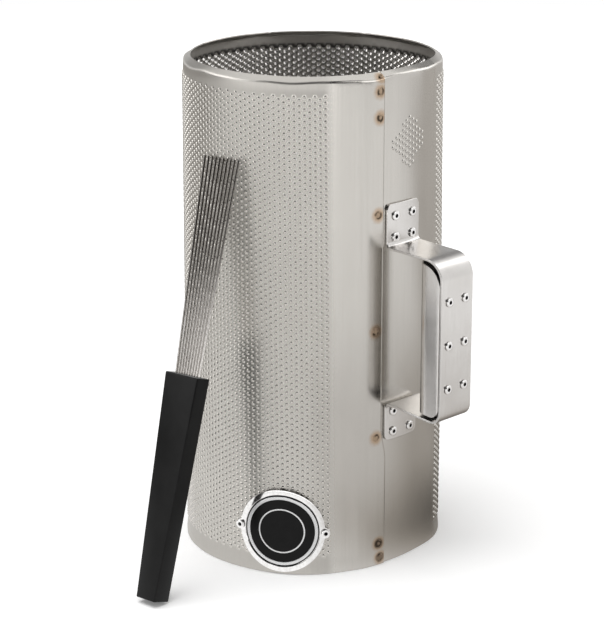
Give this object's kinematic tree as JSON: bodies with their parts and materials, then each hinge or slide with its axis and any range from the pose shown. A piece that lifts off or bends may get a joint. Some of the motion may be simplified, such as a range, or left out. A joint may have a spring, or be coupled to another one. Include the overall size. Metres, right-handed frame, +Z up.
{
  "type": "guira",
  "caption": "Open sheet-metal guira with a lapped, embossed barrel, a riveted strap handle and a round badge, with a wire-tined scraper leaning on its side.",
  "frame": {"origin": "middle of the footprint's box, on the floor at the barrel's lower edge", "axes": "+Z up along the barrel, +X from the barrel towards its handle, -Y towards the scraper that leans on it"},
  "size_m": [0.2214, 0.2662, 0.3426],
  "materials": {
    "stainless_sheet": "rolled stainless sheet, lightly brushed and bright",
    "rivet_metal": "bright set rivet heads",
    "stem_steel": "dark broken stem ends",
    "badge_chrome": "bright plated",
    "black_enamel": "glossy black enamel",
    "black_plastic": "moulded black, satin to glossy",
    "spring_wire": "drawn spring wire"
  },
  "bodies": {
    "instrument": {"barrel": "stainless_sheet", "handle_strap": "stainless_sheet", "grip_liner": "stainless_sheet", "badge_plate": "badge_chrome", "badge_enamel_disc": "black_enamel", "upper_foot_rivet_top_left": "rivet_metal", "upper_foot_rivet_top_right": "rivet_metal", "upper_foot_rivet_bottom_left": "rivet_metal", "upper_foot_rivet_bottom_right": "rivet_metal", "lower_foot_rivet_top_left": "rivet_metal", "lower_foot_rivet_top_right": "rivet_metal", "lower_foot_rivet_bottom_left": "rivet_metal", "lower_foot_rivet_bottom_right": "rivet_metal", "grip_rivet_top_left": "rivet_metal", "grip_rivet_top_right": "rivet_metal", "grip_rivet_middle_left": "rivet_metal", "grip_rivet_middle_right": "rivet_metal", "grip_rivet_bottom_left": "rivet_metal", "grip_rivet_bottom_right": "rivet_metal", "badge_rivet_left": "rivet_metal", "badge_rivet_right": "rivet_metal", "upper_foot_rivet_top_left_stem": "stem_steel", "upper_foot_rivet_top_right_stem": "stem_steel", "upper_foot_rivet_bottom_left_stem": "stem_steel", "upper_foot_rivet_bottom_right_stem": "stem_steel", "lower_foot_rivet_top_left_stem": "stem_steel", "lower_foot_rivet_top_right_stem": "stem_steel", "lower_foot_rivet_bottom_left_stem": "stem_steel", "lower_foot_rivet_bottom_right_stem": "stem_steel", "grip_rivet_top_left_stem": "stem_steel", "grip_rivet_top_right_stem": "stem_steel", "grip_rivet_middle_left_stem": "stem_steel", "grip_rivet_middle_right_stem": "stem_steel", "grip_rivet_bottom_left_stem": "stem_steel", "grip_rivet_bottom_right_stem": "stem_steel", "badge_rivet_left_stem": "stem_steel", "badge_rivet_right_stem": "stem_steel"},
    "scraper": {"scraper_handle": "black_plastic"},
    "tine_row": {"tine_01": "spring_wire", "tine_02": "spring_wire", "tine_03": "spring_wire", "tine_04": "spring_wire", "tine_05": "spring_wire", "tine_06": "spring_wire", "tine_07": "spring_wire", "tine_08": "spring_wire", "tine_09": "spring_wire", "tine_10": "spring_wire"}
  },
  "joints": [
    {"name": "scraper_lift", "type": "slide", "parent": "instrument", "child": "scraper", "axis": [0, 0, 1], "range_m": [0, 0.36]},
    {"name": "tine_flex", "type": "hinge", "parent": "scraper", "child": "tine_row", "pos_m": [-0.01096, -0.0868, 0.1416], "axis": [0.9986, 0, 0.0523], "range_deg": [0, 5], "stiffness_Nm_per_rad": 2}
  ]
}
